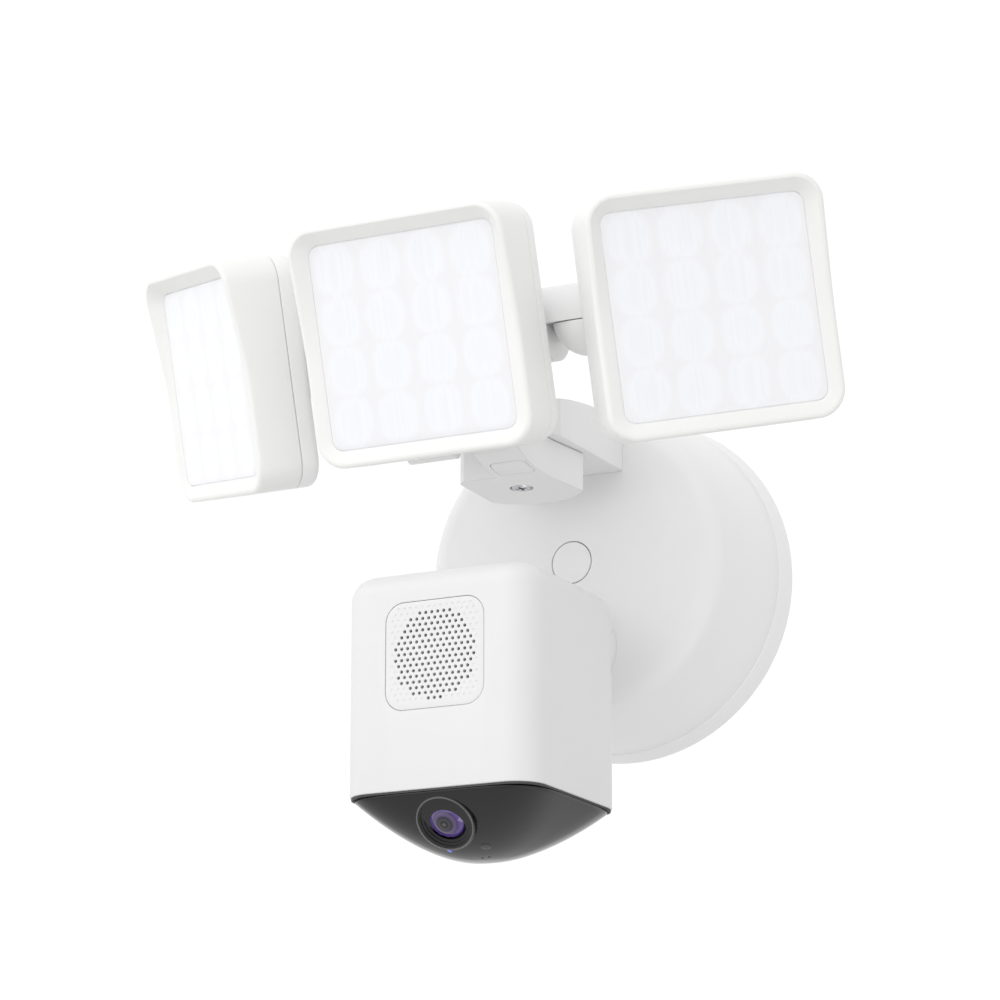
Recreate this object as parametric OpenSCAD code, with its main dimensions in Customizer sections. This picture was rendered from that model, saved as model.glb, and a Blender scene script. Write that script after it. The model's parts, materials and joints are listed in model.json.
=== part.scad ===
// Wall floodlight with three light heads and a camera, built as separate pieces.
// The back of the gasket lies on the wall plane y = 0, the front faces -Y, up is +Z.
// The pan axis of the light arm is vertical, the tilt axis runs along X.

/* [Base] */
// Largest diameter of the wall base, mm
base_d = 136; // [120:1:150]
// Depth of the base from the wall to its front face, mm
base_depth = 58.5; // [50:0.5:66]
// Depth of the rear ring that holds the cover, mm
ring_depth = 14; // [12:0.2:17]
// Diameter of the plug over the mounting screw, mm
plug_d = 16.2; // [12:0.2:18]
// Distance between the two junction box screws, mm
box_screw_spacing = 88.9; // [82:0.1:96]

/* [Light arm] */
// Width of the neck, mm
neck_w = 43.2; // [38:0.2:48]
// Height of the neck above the light swivel, mm
neck_h = 19.4; // [16:0.2:24]
// Distance from the wall to the pan axis, mm
pan_y = 101.3; // [96:0.1:106]
// Width of the swivel block, mm
hub_w = 37.8; // [34:0.2:42]
// Distance from the wall to the tilt axis, mm
tilt_y = 149.4; // [146:0.1:156]
// Height of the tilt axis above the base centre, mm
tilt_z = 63.4; // [60:0.1:68]
// Diameter of the arm tube and of the knuckles, mm
arm_d = 26.8; // [24:0.2:29]
// Distance of each head pivot from the middle, mm
pivot_x = 51.1; // [50:0.1:58]

/* [Light heads] */
// Width of a light head, mm
head_w = 85.5; // [80:0.5:87]
// Height of a light head, mm
head_h = 86.2; // [78:0.2:90]
// Thickness of a light head at its lower half, mm
head_t = 23.1; // [21:0.1:25]
// How far the upper edge of the frame stands forward, mm
hood = 5; // [2:0.5:8]
// Width and height of the diffuser, mm
lens_size = 73; // [66:0.5:76]
// Downward tilt of the light bar, degrees
bar_tilt = 17; // [10:0.5:24]
// Turn of the right head away from the middle, degrees
right_turn = 35.5; // [25:0.5:45]
// Turn of the left head away from the middle, degrees
left_turn = 39.3; // [25:0.1:45]

/* [Camera] */
// Width of the camera, mm
cam_w = 75.6; // [70:0.2:82]
// Depth of the camera, mm
cam_d = 73.9; // [68:0.1:80]
// Height of the white camera shell, mm
cam_h = 79.3; // [74:0.1:86]
// Height of the dark dome under the shell, mm
dome_h = 20.4; // [17:0.2:24]
// Distance from the wall to the back of the camera, mm
cam_back = 96.3; // [92:0.1:102]
// Distance of the shell top below the base centre, mm
cam_top = 25.8; // [20:0.1:30]
// Width and height of the speaker grille plate, mm
grille_size = 38.5; // [32:0.5:42]
// Diameter of the camera stub on the base, mm
stub_d = 36.8; // [30:0.2:40]

/* [Hidden] */
eps = 0.01;
fit = 0.05;
gap = 0.3;
wall = 2.4;
base_r = base_d / 2;
gasket_t = 2;
cover_back = -ring_depth;
front = -base_depth;
parting_r = base_r - 1.9;
shoulder_r = base_r - 6.5;
edge_r = 8.5;
neck_z0 = 33.3;
neck_front_r = 24.5;
hub_z0 = 18.7;
hub_z1 = neck_z0 - gap;
hub_r = 23.1;
arm_r = arm_d / 2;
axis_back = arm_r + 27.4;
lens_drop = 1.5;
back_plane = axis_back - head_t;
side_drop = 2.9;
head_in = head_w / 2 - 6.35;
knuckle_fwd = axis_back - 2.8;
head_r = 10.5;
rear_t = 7.3;
ring_in_r = base_r - 13;
ring_back = -gasket_t - 0.02;
ring_screw_r = base_r - 8.9;
crossbar_l = 106;
neck_mid_z = neck_z0 + neck_h / 2;
neck_drop = 9;
ear_x0 = -1.6;
ear_x1 = 16.8;
ear_mid_x = 8.1;
ear_arc_y = -119;
ear_arc_r = 40;
ear_cover_w = 14.2;
ear_cover_d = 10.6;
ear_cover_y = -125.2;
slot_gap = 0.4;
rib_x = -21;
pocket_x = 23.4;
pocket_r = 6.4;
head_screw_x = 24;
head_screw_z = 7;
side_screw_x = [2, 22];
neck_screw_x = 14;
stub_screw_x = 6;
fork_screw_x = 10;
fork_screw_z = -37;
rail_x = 27.2;
post_x = 30;
post_z = [-40, -14];
cam_front = cam_back + cam_d;
cam_r = 11.5;
shell_z0 = -cam_top - cam_h;
stub_z = -34;
top_r = 9;
stub_r = stub_d / 2;
pin_y = 84;
full_tube = pivot_x - arm_r - 0.7;
rim = 1.2;
flange_size = min(head_w, head_h) - 2 * wall - 2.7;
open_size = min(lens_size, flange_size - 5);
led_pitch = flange_size * 3 / 13;
seal_y0 = head_t - rear_t - 0.4;
led_y = 8;
grille_z = -57.5;
hole_r = 0.62;
hole_rise = 0.62;
hole_pitch = 2.36;
hole_field_r = 16.2;
lens_y = 160.5;
lens_z = -115.3;
lens_r = 11.6;
lens_tilt = 40;
trim_h = 0.8;
dome_top = shell_z0 - trim_h;
dome_hw = cam_w / 2 - 0.5;
dome_hd = cam_d / 2 - 0.5;
led_x = -5.8;
led_back = 22.7;
sensor_x = 8.5;
sensor_back = 23.2;
white = [0.93, 0.93, 0.92];
light_grey = [0.78, 0.78, 0.78];
mid_grey = [0.55, 0.55, 0.56];
dark = [0.12, 0.12, 0.13];
steel = [0.7, 0.7, 0.72];
green = [0.15, 0.4, 0.25];

// Piece to draw, or all of them

// ---------- shared shapes ----------

module rounded(w, h, r) {
    hull()
        for (x = [-1, 1], z = [-1, 1])
            translate([x * (w / 2 - r), z * (h / 2 - r)])
                circle(r = r, $fn = 32);
}

// Upright plate in the XZ plane, its back at y = y1 and its front at y = y0
module plate(w, h, r, y0, y1) {
    translate([0, y1, 0])
        rotate([90, 0, 0])
            linear_extrude(height = y1 - y0)
                rounded(w, h, r);
}

module tube_x(r, x0, x1, n) {
    translate([x0, 0, 0])
        rotate([0, 90, 0])
            cylinder(r = r, h = x1 - x0, $fn = n);
}

module rod_y(r, y0, y1, n) {
    translate([0, y1, 0])
        rotate([90, 0, 0])
            cylinder(r = r, h = y1 - y0, $fn = n);
}

module cross_recess(size, depth) {
    for (turn = [0, 90])
        rotate([0, 0, turn])
            translate([-size / 2, -size / 9, 0])
                cube([size, size / 4.5, depth]);
}

// Pan head screw along +Z, its head below z = 0
module pan_screw(head_r1, head_h1, shank_r, shank_l) {
    difference() {
        union() {
            cylinder(r = shank_r, h = shank_l, $fn = 32);
            translate([0, 0, -head_h1])
                cylinder(r1 = head_r1 * 0.8, r2 = head_r1, h = head_h1 * 0.45 + eps, $fn = 32);
            translate([0, 0, -head_h1 * 0.55])
                cylinder(r = head_r1, h = head_h1 * 0.55, $fn = 32);
        }
        translate([0, 0, -head_h1 - eps])
            cross_recess(head_r1 * 1.15, head_h1 * 0.6);
    }
}

// Frame of the light bar: origin on the tilt axis, turned down by the bar tilt
module bar_frame() {
    translate([0, -tilt_y, tilt_z])
        rotate([bar_tilt, 0, 0])
            children();
}

// Frame of a head, its origin at the middle of the diffuser plane
module centre_frame() {
    bar_frame()
        translate([0, -axis_back, lens_drop])
            children();
}

module side_pivot(side) {
    bar_frame()
        translate([side * pivot_x, 0, 0])
            rotate([0, 0, side > 0 ? right_turn : -left_turn])
                children();
}

module side_frame(side) {
    side_pivot(side)
        translate([side * head_in, -knuckle_fwd, -side_drop])
            children();
}

// ---------- base ----------

// Turns a shape built about +Z, with z toward the wall, into the base frame
module about_y() {
    rotate([-90, 0, 0])
        children();
}

// Half section of the cover, x outward and y toward the wall
module cover_section(shrink, back) {
    inner_r = edge_r - shrink;
    polygon(concat(
        [[0, front + shrink]],
        [for (i = [0:9])
            [shoulder_r - edge_r + inner_r * sin(i * 10), front + edge_r - inner_r * cos(i * 10)]],
        [[parting_r - shrink, back]],
        [[0, back]]));
}

module at_ring_screws() {
    for (a = [45:90:315])
        rotate([0, a, 0])
            translate([ring_screw_r, 0, 0])
                children();
}

module base_gasket() {
    color(dark)
        difference() {
            rod_y(base_r - 3, -gasket_t, 0, 96);
            rod_y(base_r - 9, -gasket_t - 1, 1, 96);
        }
}

module base_ring() {
    color(white)
        difference() {
            about_y()
                rotate_extrude($fn = 128)
                    polygon([[ring_in_r, ring_back], [ring_in_r, cover_back + gap],
                        [parting_r - 0.6, cover_back + gap], [parting_r + 0.2, cover_back + 1],
                        [base_r - 0.5, -7.4], [base_r, -5.6], [base_r - 0.9, ring_back - 0.4],
                        [base_r - 1.8, ring_back]]);
            at_ring_screws() rod_y(1.55, cover_back - 1, 1, 32);
            at_ring_screws() rod_y(3.2, -5, 1, 32);
        }
}

module base_cover() {
    color(white)
        difference() {
            about_y()
                rotate_extrude($fn = 128)
                    cover_section(0, cover_back);
            difference() {
                about_y()
                    rotate_extrude($fn = 128)
                        cover_section(wall, cover_back + 1);
                at_ring_screws() rod_y(3.4, front, 0, 32);
                rod_y(7.4, front, -20, 48);
                rod_y(plug_d / 2 + 2.4, front, front + 6, 64);
                translate([0, 0, stub_z])
                    rod_y(10, front, front + 8, 48);
            }
            at_ring_screws() rod_y(1.2, cover_back - 12, 1, 32);
            rod_y(plug_d / 2 + 0.1, front - 1, front + 3.2, 64);
            rod_y(5.2, front - 1, front + 12, 48);
            rod_y(2.55, front - 1, 1, 32);
            for (x = [-1, 1])
                translate([x * stub_screw_x, 0, stub_z])
                    rod_y(1.2, front - 1, front + 9, 32);
            for (x = [-1, 1])
                translate([x * neck_screw_x, 0, neck_mid_z])
                    rod_y(1.55, front - 1, front + 6, 32);
        }
}

// Strap that spans a round junction box, held by two screws
module crossbar() {
    color(steel)
        difference() {
            translate([-crossbar_l / 2, -2, -6.5])
                cube([crossbar_l, 2, 13]);
            for (x = [-1, 1])
                translate([x * box_screw_spacing / 2, 0, 0])
                    rod_y(2.3, -3, 1, 32);
            rod_y(2.05, -3, 1, 32);
        }
}

module ring_screws() {
    color(steel)
        at_ring_screws()
            translate([0, -5 + eps, 0])
                rotate([90, 0, 0])
                    pan_screw(2.9, 1.9, 1.15, 14);
}

module centre_screw() {
    color(steel)
        translate([0, front + 12 - eps, 0])
            rotate([-90, 0, 0])
                pan_screw(4.6, 3.2, 2, base_depth - 12.2);
}

module centre_plug() {
    color(white)
        union() {
            rod_y(plug_d / 2, front - 0.1, front + 1.8, 64);
            difference() {
                rod_y(5.1, front + 1.7, front + 5, 48);
                rod_y(3.8, front + 2.4, front + 6, 48);
            }
        }
}

module driver_board() {
    color(green)
        difference() {
            translate([-34, -30, -44])
                cube([68, 1.6, 34]);
            for (x = [-1, 1], z = post_z)
                translate([x * post_x, 0, z])
                    rod_y(1.55, -31, -28, 32);
        }
    color(dark)
        union() {
            translate([-24, -28.5, -40])
                cube([22, 13, 18]);
            translate([4, -28.5, -38])
                cube([24, 9, 9]);
        }
}

module board_posts() {
    color(white)
        for (x = [-1, 1], z = post_z)
            translate([x * post_x, 0, z])
                union() {
                    rod_y(2.8, front + wall + 0.05, -30 - eps, 32);
                    rod_y(1.5, -31, -26, 32);
                }
}

// ---------- neck and swivel ----------

module neck() {
    color(white)
        difference() {
            intersection() {
                translate([-neck_w / 2, 0, 0])
                    rotate([90, 0, 90])
                        linear_extrude(height = neck_w)
                            polygon(concat([[-pan_y - 30, neck_z0], [front - 0.05, neck_z0]],
                                [[front - 0.05, neck_z0 + neck_h]],
                                [for (i = [0:8])
                                    [-64 - i * 8, neck_z0 + neck_h - neck_drop * pow(i / 8, 2)]]));
                union() {
                    translate([0, -pan_y, 0])
                        cylinder(r = neck_front_r, h = 80, $fn = 96);
                    translate([-neck_w / 2, -pan_y, 0])
                        cube([neck_w, pan_y, 80]);
                }
            }
            translate([0, -pan_y, neck_z0 - 1])
                cylinder(r = 3 + fit, h = 12, $fn = 48);
            for (x = [-1, 1])
                translate([x * neck_screw_x, 0, neck_mid_z])
                    rod_y(1.2, front - 12, front + 1, 32);
        }
}

module neck_screws() {
    color(steel)
        for (x = [-1, 1])
            translate([x * neck_screw_x, front + wall + eps, neck_mid_z])
                rotate([90, 0, 0])
                    pan_screw(2.8, 1.8, 1.15, 11);
}

// Side outline of the ear that carries the light bar
ear_outline = concat(
    [[-pan_y, hub_z1], [-pan_y, hub_z0]],
    [for (i = [0:8])
        [ear_arc_y - ear_arc_r * sin(i * 8.5), hub_z0 + ear_arc_r - ear_arc_r * cos(i * 8.5)]],
    [[-tilt_y - 9, tilt_z - 6], [-tilt_y, tilt_z], [-tilt_y + 9.4, tilt_z + 9.5],
    [-tilt_y + 16.4, tilt_z + 3], [-126, tilt_z - 9], [-124, hub_z1]]);

module ear_prism() {
    translate([ear_x0, 0, 0])
        rotate([90, 0, 90])
            linear_extrude(height = ear_x1 - ear_x0)
                polygon(ear_outline);
}

module ear_window(grow) {
    translate([ear_mid_x, ear_cover_y, hub_z0 - 1])
        linear_extrude(height = 20)
            rounded(ear_cover_w + grow, ear_cover_d + grow, 2.4);
}

module hub_block() {
    color(white)
        difference() {
            union() {
                intersection() {
                    translate([0, -pan_y, hub_z0])
                        cylinder(r = hub_r, h = hub_z1 - hub_z0, $fn = 96);
                    translate([0, 0, hub_z0 - 1])
                        linear_extrude(height = hub_z1 - hub_z0 + 2)
                            polygon([[-hub_w / 2, -pan_y + 40], [-hub_w / 2, -pan_y + 13],
                                [-hub_w / 2 + 1.1, -pan_y - 17.7], [ear_x1, -pan_y - 17.7],
                                [ear_x1, -pan_y - 8], [hub_w / 2, -pan_y + 13],
                                [hub_w / 2, -pan_y + 40]]);
                }
                ear_prism();
                translate([0, -tilt_y, tilt_z])
                    tube_x(arm_r, ear_x0, ear_x1, 96);
            }
            translate([0, -pan_y, hub_z1])
                cylinder(r = neck_front_r + 0.8, h = 40, $fn = 96);
            translate([0, -pan_y, 0])
                cylinder(r = 3 + fit, h = 60, $fn = 48);
            translate([0, -pan_y, hub_z0 - 1])
                cylinder(r = 4.4, h = 3.4, $fn = 48);
            translate([0, -tilt_y, tilt_z])
                tube_x(3 + fit, -30, 30, 48);
            difference() {
                ear_window(0.3);
                translate([-1, 0, 1.5])
                    scale([1.2, 1, 1])
                        ear_prism();
            }
        }
}

module hub_screw() {
    color(steel)
        translate([0, -pan_y, hub_z0 + 2.4 + eps])
            pan_screw(4, 2.6, 3, 22);
}

// Small cover let into the underside of the ear
module ear_cover() {
    color(white)
        intersection() {
            ear_window(0);
            difference() {
                ear_prism();
                translate([-1, 0, 1.4])
                    scale([1.2, 1, 1])
                        ear_prism();
            }
        }
}

// ---------- light bar ----------

module arm_tube() {
    color(white)
        bar_frame()
            difference() {
                union() {
                    tube_x(arm_r, -full_tube, ear_x0 - slot_gap, 96);
                    tube_x(arm_r, ear_x1 + slot_gap, full_tube, 96);
                    for (side = [-1, 1])
                        upper_knuckle(side);
                    difference() {
                        translate([-30, -back_plane, -11])
                            cube([60, back_plane - 8.6, 22]);
                        tube_x(arm_r + 0.5, ear_x0 - slot_gap, ear_x1 + slot_gap, 96);
                        translate([ear_x0 - slot_gap, -back_plane - 1, -12])
                            cube([ear_x1 - ear_x0 + 2 * slot_gap, back_plane, 8]);
                    }
                    stop_rib();
                }
                tube_x(3 + fit, -40, 40, 48);
                tube_x(pocket_r, -full_tube - 0.4, -pocket_x, 48);
                tube_x(pocket_r, pocket_x, full_tube + 0.4, 48);
                for (side = [-1, 1])
                    translate([side * pivot_x, 0, -1])
                        cylinder(r = 2 + fit, h = 11, $fn = 48);
                for (x = [-1, 1], z = [-1, 1])
                    translate([x * head_screw_x, 0, z * head_screw_z])
                        rod_y(1.2, -back_plane - 1, -back_plane + 6, 32);
            }
}

// Half of a knuckle that stays with the light bar, above the parting plane
module upper_knuckle(side) {
    intersection() {
        union() {
            translate([side * pivot_x, 0, 0])
                sphere(r = arm_r, $fn = 64);
            tube_x(arm_r, min(side * 20, side * pivot_x), max(side * 20, side * pivot_x), 96);
        }
        translate([side > 0 ? 25 : -80, -20, gap / 2])
            cube([55, 40, 20]);
    }
}

// Rib behind the head that stops the light bar at the swivel block
module stop_rib() {
    hull() {
        tube_x(7, rib_x, ear_x0 - slot_gap, 32);
        translate([0, -12.4, -40.2])
            tube_x(3, rib_x, ear_x0 - slot_gap, 32);
    }
}

// Discs that close the bolt pockets in the ends of the tube
module arm_caps() {
    color(white)
        bar_frame()
            for (x = [-full_tube, full_tube - 1.6])
                tube_x(pocket_r - fit, x, x + 1.6, 48);
}

module tilt_bolt() {
    color(steel)
        bar_frame()
            translate([-pocket_x - eps, 0, 0])
                rotate([0, 90, 0])
                    difference() {
                        union() {
                            cylinder(r = 3, h = pocket_x + 30.6, $fn = 48);
                            translate([0, 0, -3.6])
                                cylinder(r = 5.2, h = 3.6, $fn = 48);
                        }
                        translate([0, 0, -4.6])
                            cylinder(r = 2.4, h = 3, $fn = 6);
                    }
}

module tilt_nut() {
    color(steel)
        bar_frame()
            translate([pocket_x + eps, 0, 0])
                rotate([0, 90, 0])
                    difference() {
                        cylinder(r = 5.8, h = 5, $fn = 6);
                        translate([0, 0, -1])
                            cylinder(r = 3.02, h = 8, $fn = 48);
                    }
}

// Rear shell of a head with its screw holes at the given points
module housing(holes) {
    color(white)
        difference() {
            hull() {
                plate(head_w, head_h, head_r, head_t - rear_t, head_t - 2.2);
                plate(head_w - 3.4, head_h - 3.4, head_r - 1.7, head_t - 2.2, head_t);
            }
            plate(head_w - 2 * wall, head_h - 2 * wall, head_r - wall, head_t - rear_t - 1, head_t - wall);
            for (p = holes)
                translate([p[0], 0, p[1]])
                    rod_y(1.55, head_t - 5, head_t + 1, 32);
        }
}

module seal() {
    color(dark)
        difference() {
            plate(head_w - 1.6, head_h - 1.6, head_r - 0.8, seal_y0, head_t - rear_t - eps);
            plate(head_w - 4.4, head_h - 4.4, head_r - 2.2, seal_y0 - 1, head_t);
        }
}

module led_board() {
    color(light_grey)
        plate(flange_size - 2, flange_size - 2, 3, led_y, led_y + 1.6);
    color([1, 0.95, 0.75])
        for (x = [-1.5:1.5], z = [-1.5:1.5])
            translate([x * led_pitch, 0, z * led_pitch])
                rod_y(3, led_y - 1.2, led_y - 0.02, 16);
}

// Front frame, its upper half standing forward as a shallow hood
module bezel() {
    color(white)
        difference() {
            intersection() {
                plate(head_w, head_h, head_r, -rim - hood - 2, seal_y0 - eps);
                translate([-60, 0, 0])
                    rotate([90, 0, 90])
                        linear_extrude(height = 120)
                            polygon([[20, -50], [-rim, -50], [-rim, 0], [-rim - hood, head_h / 2],
                                [-rim - hood, 50], [20, 50]]);
            }
            hull() {
                plate(open_size + 0.2, open_size + 0.2, 4, -0.1, 0.1);
                intersection() {
                    plate(head_w - 2.4, head_h - 2.4, head_r - 1.2, -rim - hood - 3, 1);
                    translate([-60, 0, 0])
                        rotate([90, 0, 90])
                            linear_extrude(height = 120)
                                polygon([[-rim, -50], [-rim, 0], [-rim - hood, head_h / 2],
                                    [-rim - hood, 50], [-rim - hood - 1, 50],
                                    [-rim - hood - 1, head_h / 2], [-rim - 1, 0], [-rim - 1, -50]]);
                }
            }
            plate(open_size + 0.2, open_size + 0.2, 4, -0.2, 1.1);
            plate(head_w - 2 * wall, head_h - 2 * wall, head_r - wall, 1, 20);
        }
}

module diffuser() {
    color([0.97, 0.98, 1])
        union() {
            plate(open_size, open_size, 3.9, 0.05, 1.1);
            plate(flange_size, flange_size, 6, 1.05, 2.4);
        }
}

centre_holes = [for (x = [-1, 1], z = [-1, 1]) [x * head_screw_x, z * head_screw_z - lens_drop]];

module centre_housing() {
    centre_frame() housing(centre_holes);
}

module centre_seal() {
    centre_frame() seal();
}

module centre_led_board() {
    centre_frame() led_board();
}

module centre_bezel() {
    centre_frame() bezel();
}

module centre_diffuser() {
    centre_frame() diffuser();
}

// Half of a knuckle that turns with a side head, below the parting plane
module knuckle(side) {
    back = -(knuckle_fwd - head_t);
    color(white)
        side_pivot(side)
            difference() {
                union() {
                    intersection() {
                        union() {
                            sphere(r = arm_r, $fn = 64);
                            tube_x(arm_r, min(0, side * 24), max(0, side * 24), 96);
                        }
                        translate([-40, -20, -20])
                            cube([80, 40, 20 - gap / 2]);
                    }
                    translate([side > 0 ? -3 : -30, back + eps, -11.4])
                        cube([33, -back - eps, 11.4 - gap / 2]);
                }
                translate([0, 0, -20])
                    cylinder(r = 2 + fit, h = 30, $fn = 48);
                translate([0, 0, -20])
                    cylinder(r = 4, h = 12, $fn = 48);
                for (x = side_screw_x)
                    translate([side * x, 0, -head_screw_z])
                        rod_y(1.2, back - 1, back + 8, 32);
            }
}

module pivot_screw(side) {
    color(steel)
        side_pivot(side)
            translate([0, 0, -8 - eps])
                pan_screw(3.6, 2.4, 2, 16);
}

module left_knuckle() {
    knuckle(-1);
}

module left_pivot_screw() {
    pivot_screw(-1);
}

function side_holes(side) = [for (x = side_screw_x) [side * (x - head_in), side_drop - head_screw_z]];

module left_housing() {
    side_frame(-1) housing(side_holes(-1));
}

module left_seal() {
    side_frame(-1) seal();
}

module left_led_board() {
    side_frame(-1) led_board();
}

module left_bezel() {
    side_frame(-1) bezel();
}

module left_diffuser() {
    side_frame(-1) diffuser();
}

module right_knuckle() {
    knuckle(1);
}

module right_pivot_screw() {
    pivot_screw(1);
}

module right_housing() {
    side_frame(1) housing(side_holes(1));
}

module right_seal() {
    side_frame(1) seal();
}

module right_led_board() {
    side_frame(1) led_board();
}

module right_bezel() {
    side_frame(1) bezel();
}

module right_diffuser() {
    side_frame(1) diffuser();
}

// Screws from inside each housing into the part that carries it
module head_screws() {
    color(steel)
        centre_frame()
            for (p = centre_holes)
                translate([p[0], head_t - wall - eps, p[1]])
                    rotate([-90, 0, 0])
                        pan_screw(2.6, 1.7, 1.15, 7);
}

module side_screws(side) {
    color(steel)
        side_frame(side)
            for (p = side_holes(side))
                translate([p[0], head_t - wall - eps, p[1]])
                    rotate([-90, 0, 0])
                        pan_screw(2.6, 1.7, 1.15, 9);
}

module left_screws() {
    side_screws(-1);
}

module right_screws() {
    side_screws(1);
}

// ---------- camera ----------

module footprint(w, d, r, z0, z1) {
    translate([0, -(cam_back + cam_front) / 2, z0])
        linear_extrude(height = z1 - z0)
            rounded(w, d, r);
}

module camera_stub() {
    color(white)
        difference() {
            union() {
                translate([0, 0, stub_z])
                    about_y()
                        rotate_extrude($fn = 96)
                            polygon(concat([[0, front - 0.05], [stub_r, front - 0.05]],
                                [for (i = [0:6])
                                    [stub_r - 3 + 3 * cos(i * 15), front - 7 - 3 * sin(i * 15)]],
                                [[0, front - 10]]));
                translate([0, -pin_y, stub_z - 5])
                    cylinder(r = 8.4, h = 10, $fn = 64);
                translate([-8.4, -pin_y, stub_z - 5])
                    cube([16.8, pin_y + front - 9, 10]);
            }
            translate([0, -pin_y, stub_z - 30])
                cylinder(r = 2.5 + fit, h = 60, $fn = 48);
            for (x = [-1, 1])
                translate([x * stub_screw_x, 0, stub_z])
                    rod_y(1.2, front - 6, front + 1, 32);
        }
}

module stub_screws() {
    color(steel)
        for (x = [-1, 1])
            translate([x * stub_screw_x, front + 8 + eps, stub_z])
                rotate([90, 0, 0])
                    pan_screw(2.6, 1.7, 1.15, 13);
}

// Fork on the back of the camera that turns about the stub
module camera_fork() {
    color(white)
        difference() {
            union() {
                for (z = [-10.2, 5.2])
                    translate([0, -pin_y, stub_z + z])
                        union() {
                            cylinder(r = 8.4, h = 5, $fn = 64);
                            translate([-8.4, -cam_back + 0.05, 0])
                                translate([0, pin_y, 0])
                                    cube([16.8, cam_back - pin_y - 0.05, 5]);
                        }
                translate([-12, -cam_back + 0.05, stub_z - 10.2])
                    cube([24, 3, 20.4]);
            }
            translate([0, -pin_y, stub_z - 30])
                cylinder(r = 2.5 + fit, h = 60, $fn = 48);
            for (x = [-1, 1])
                translate([x * fork_screw_x, 0, fork_screw_z])
                    rod_y(1.2, -cam_back - 1, -cam_back + 4, 32);
        }
}

module fork_pin() {
    color(steel)
        translate([0, -pin_y, stub_z - 10.2 - 2])
            union() {
                cylinder(r = 2.5, h = 22.2, $fn = 48);
                cylinder(r = 4.2, h = 2 - eps, $fn = 48);
            }
}

module fork_screws() {
    color(steel)
        for (x = [-1, 1])
            translate([x * fork_screw_x, -cam_back - wall - eps, fork_screw_z])
                rotate([-90, 0, 0])
                    pan_screw(2.4, 1.6, 1.15, 5);
}

// Box with upright rounded corners and a rounded top edge
module shell_body() {
    hull()
        for (x = [-1, 1], y = [-1, 1])
            translate([x * (cam_w / 2 - cam_r), y * (cam_d / 2 - cam_r) - (cam_back + cam_front) / 2, 0]) {
                translate([0, 0, shell_z0])
                    cylinder(r = cam_r, h = cam_h - top_r, $fn = 32);
                for (a = [22.5:22.5:90])
                    translate([0, 0, -cam_top - top_r])
                        cylinder(r = cam_r - top_r + top_r * cos(a), h = top_r * sin(a), $fn = 32);
            }
}

module camera_shell() {
    color(white)
        difference() {
            shell_body();
            footprint(cam_w - 2 * wall, cam_d - 2 * wall, cam_r - wall, shell_z0 - 1, -cam_top - wall - 4);
            translate([0, 0, grille_z])
                plate(grille_size + 0.3, grille_size + 0.3, 7.2, -cam_front - 1, -cam_front + 1.6);
            translate([0, 0, grille_z])
                rod_y(16.8, -cam_front - 1, -cam_front + 4, 64);
            for (x = [-1, 1])
                translate([x * fork_screw_x, 0, fork_screw_z])
                    rod_y(1.55, -cam_back - 4, -cam_back + 1, 32);
        }
}

// Sound holes on a six sided raster inside a circle, as one flat plate
module grille_plate() {
    color(white)
        translate([0, -cam_front + 1.55, grille_z])
            rotate([90, 0, 0])
                linear_extrude(height = 1.6)
                    difference() {
                        rounded(grille_size, grille_size, 7);
                        for (row = [-8:7], col = [-7:7])
                            if (norm(hole_at(row, col)) < hole_field_r)
                                translate(hole_at(row, col))
                                    circle(r = hole_r, $fn = 14);
                    }
}

// Middle of a sound hole, every second row moved by half a pitch
function hole_at(row, col) = [(col + (row % 2 == 0 ? 0 : 0.5)) * hole_pitch,
    row * hole_pitch * 0.866 + hole_rise];

module speaker() {
    color(dark)
        translate([0, 0, grille_z])
            difference() {
                union() {
                    rod_y(17.6, -cam_front + wall + 0.1, -cam_front + wall + 2.6, 64);
                    rod_y(13, -cam_front + wall + 2.5, -cam_front + wall + 12, 64);
                }
                rod_y(15.8, -cam_front + wall, -cam_front + wall + 1.6, 64);
            }
    color(mid_grey)
        translate([0, 0, grille_z])
            rod_y(7, -cam_front + wall + 0.4, -cam_front + wall + 1.58, 48);
}

module main_board() {
    color(green)
        translate([-28, -cam_back - 16, shell_z0 + 12])
            cube([56, 1.6, 52]);
    color(dark)
        union() {
            translate([-10, -cam_back - 19, shell_z0 + 36])
                cube([20, 3.02, 20]);
            translate([14, -cam_back - 18, shell_z0 + 20])
                cube([8, 2.02, 12]);
            translate([-22, -cam_back - 18, shell_z0 + 16])
                cube([12, 2.02, 10]);
        }
}

module board_rails() {
    color(white)
        for (x = [-1, 1])
            difference() {
                translate([x > 0 ? rail_x : -cam_w / 2 + wall + 0.05, -cam_back - 20, shell_z0 + 10])
                    cube([cam_w / 2 - wall - 0.05 - rail_x, 7.5, 56]);
                translate([x * 27.6 - 0.7, -cam_back - 16.05, shell_z0 + 11.9])
                    cube([1.4, 1.7, 52.2]);
            }
}

// Black trim strip that closes the joint between shell and dome
module seam_trim() {
    color(dark)
        difference() {
            footprint(cam_w - 1, cam_d - 1, cam_r - 0.5, dome_top + 0.06, shell_z0 - 0.02);
            footprint(cam_w - 3.4, cam_d - 3.4, cam_r - 1.7, shell_z0 - 2, shell_z0 + 1);
        }
}

// Steps of the dome from its rim to its middle, as shares of the footprint
dome_steps = [1, 0.96, 0.89, 0.8, 0.69, 0.55, 0.38, 0.18];

function dome_drop(share) = (dome_h - trim_h) * (1 - pow(share, 2.2));

// Pillow shaped body, one hull over the corner discs of every step
module dome_body(shrink) {
    hull()
        for (p = dome_steps, x = [-1, 1], y = [-1, 1])
            translate([x * (dome_hw * p - dome_corner(p)), y * (dome_hd * p - dome_corner(p))
                    - (cam_back + cam_front) / 2, dome_top - dome_drop(p)])
                cylinder(r = dome_corner(p) - shrink * p, h = 0.05 + shrink, $fn = 32);
}

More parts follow.
